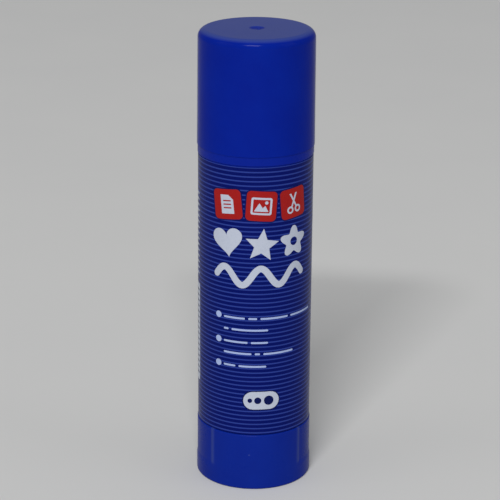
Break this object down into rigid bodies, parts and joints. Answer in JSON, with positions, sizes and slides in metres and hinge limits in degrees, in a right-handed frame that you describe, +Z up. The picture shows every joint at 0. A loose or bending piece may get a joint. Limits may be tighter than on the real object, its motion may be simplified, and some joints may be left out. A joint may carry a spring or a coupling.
{
  "type": "glue stick",
  "caption": "Twist-up glue stick: round barrel with striped wrap label, pull-off cap, turning base knob, and a screw spindle that lifts the carrier and its stick of glue.",
  "frame": {"origin": "on the barrel's axis, in the plane that the base knob stands on", "axes": "+Z up along the barrel's axis to the cap's crown; -Y towards the front of the label; +X to the right seen from the front"},
  "size_m": [0.0294, 0.0294, 0.1169],
  "materials": {
    "blue_plastic": "satin moulded polypropylene",
    "label_film": "printed wrap film, dark blue with fine lighter stripes",
    "natural_plastic": "uncoloured moulded polypropylene",
    "glue": "smooth waxy glue"
  },
  "bodies": {
    "barrel": {"barrel": "blue_plastic", "label": "label_film"},
    "knob": {"base_knob": "blue_plastic", "screw_spindle": "natural_plastic"},
    "carrier": {"glue_carrier": "natural_plastic", "glue": "glue"},
    "cap": {"cap": "blue_plastic"}
  },
  "joints": [
    {"name": "knob_turn", "type": "hinge", "parent": "barrel", "child": "knob", "pos_m": [0, 0, 0], "axis": [0, 0, 1], "range_deg": [0, 1350]},
    {"name": "glue_rise", "type": "slide", "parent": "barrel", "child": "carrier", "axis": [0, 0, 1], "range_m": [0, 0.01688]},
    {"name": "cap_slide", "type": "slide", "parent": "barrel", "child": "cap", "axis": [0, 0, 1], "range_m": [0, 0.045]}
  ],
  "couplings": [
    {"joint": "knob_turn", "follows": "glue_rise", "rad_per_m": 1396.3}
  ]
}
